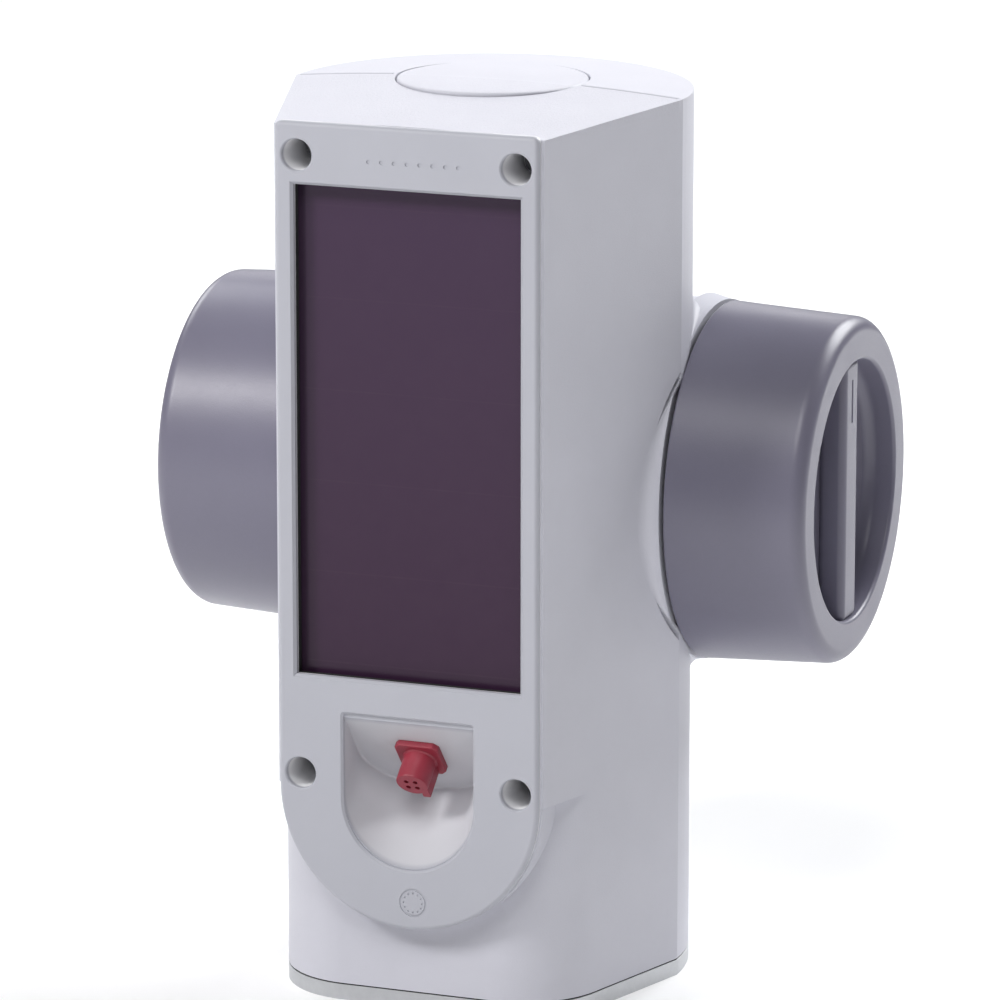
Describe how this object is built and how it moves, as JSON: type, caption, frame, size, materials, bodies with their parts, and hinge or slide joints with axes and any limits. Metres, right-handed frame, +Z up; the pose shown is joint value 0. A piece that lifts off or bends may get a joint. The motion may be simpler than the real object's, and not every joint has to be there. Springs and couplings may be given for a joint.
{
  "type": "parking pay station",
  "caption": "Column-top parking pay station head with a solar panel, service socket, side turn-knobs, top button, display, keys and card slot.",
  "frame": {"origin": "column axis at the underside of the base plate, the centre of the four fixing holes", "axes": "+X right as seen from the solar side, the solar side looks along -Y and the user side along +Y, +Z up"},
  "size_m": [0.22, 0.1703, 0.2875],
  "materials": {
    "white_shell": "fine spark-eroded texture, satin, faintly lavender white",
    "white_cover": "smooth satin moulded plastic",
    "grey_knob": "satin mid grey moulded plastic",
    "red_plastic": "satin red moulded nylon",
    "solar_cells": "amorphous silicon behind glass, dark purple brown",
    "base_metal": "die cast, bead blasted",
    "steel": "zinc plated",
    "dark_steel": "black oxide",
    "contact_brass": "bright",
    "bush_brass": "turned",
    "black_rubber": "matt",
    "dark_plastic": "moulded",
    "frame_grey": "moulded",
    "circuit_green": "solder resist",
    "cell_wrap": "shrink wrap",
    "fascia_dark": "satin dark grey",
    "clear_window": "clear polycarbonate",
    "display_grey": "reflective liquid crystal",
    "grey_key": "moulded",
    "green_key": "moulded",
    "lead_red": "insulated lead",
    "lead_black": "insulated lead"
  },
  "bodies": {
    "housing": {"base_plate": "base_metal", "base_gasket": "black_rubber", "base_screws": "steel", "solar_side_shell": "white_shell", "user_side_shell": "white_shell", "shell_screws": "steel", "solar_cover": "white_cover", "cover_screws": "dark_steel", "solar_panel": "solar_cells", "panel_gasket": "black_rubber", "service_socket": "red_plastic", "socket_contacts": "contact_brass", "socket_nut": "steel", "button_guide": "dark_plastic", "button_spring": "steel", "top_switch": "dark_plastic", "top_board": "circuit_green", "shaft_bushes": "bush_brass", "bush_nuts": "steel", "bush_seals": "black_rubber", "knob_encoders": "dark_plastic", "inner_frame": "frame_grey", "frame_screws": "steel", "main_board": "circuit_green", "board_screws": "steel", "battery_holder": "dark_plastic", "battery_cells": "cell_wrap", "charge_board": "circuit_green", "fascia": "fascia_dark", "fascia_screws": "dark_steel", "display_window": "clear_window", "display_module": "display_grey", "display_board": "circuit_green", "key_switches": "dark_plastic", "card_slot_bezel": "fascia_dark", "card_reader": "dark_plastic", "contactless_cover": "fascia_dark", "contactless_antenna": "circuit_green", "solar_lead": "lead_red", "battery_lead": "lead_black", "socket_lead": "lead_black"},
    "left_turn_knob": {"left_knob": "grey_knob", "left_shaft": "steel", "left_shaft_clip": "dark_steel"},
    "right_turn_knob": {"right_knob": "grey_knob", "right_shaft": "steel", "right_shaft_clip": "dark_steel"},
    "top_push_button": {"top_button": "white_shell", "button_stem": "dark_plastic", "button_clip": "steel"},
    "left_push_key": {"left_key": "grey_key"},
    "middle_push_key": {"middle_key": "grey_key"},
    "right_push_key": {"right_key": "green_key"}
  },
  "joints": [
    {"name": "left_knob_turn", "type": "hinge", "parent": "housing", "child": "left_turn_knob", "pos_m": [-0.085, 0.0408, 0.1544], "axis": [-1, 0, 0], "continuous": true},
    {"name": "right_knob_turn", "type": "hinge", "parent": "housing", "child": "right_turn_knob", "pos_m": [0.085, 0.0408, 0.1544], "axis": [1, 0, 0], "continuous": true},
    {"name": "top_button_press", "type": "slide", "parent": "housing", "child": "top_push_button", "axis": [0, 0, -1], "range_m": [0, 0.002], "stiffness_N_per_m": 900, "springref_m": -0.003, "deforming": ["button_spring"]},
    {"name": "left_key_press", "type": "slide", "parent": "housing", "child": "left_push_key", "axis": [0, -1, 0], "range_m": [0, 0.001], "stiffness_N_per_m": 800, "springref_m": -0.001},
    {"name": "middle_key_press", "type": "slide", "parent": "housing", "child": "middle_push_key", "axis": [0, -1, 0], "range_m": [0, 0.001], "stiffness_N_per_m": 800, "springref_m": -0.001},
    {"name": "right_key_press", "type": "slide", "parent": "housing", "child": "right_push_key", "axis": [0, -1, 0], "range_m": [0, 0.001], "stiffness_N_per_m": 800, "springref_m": -0.001}
  ]
}
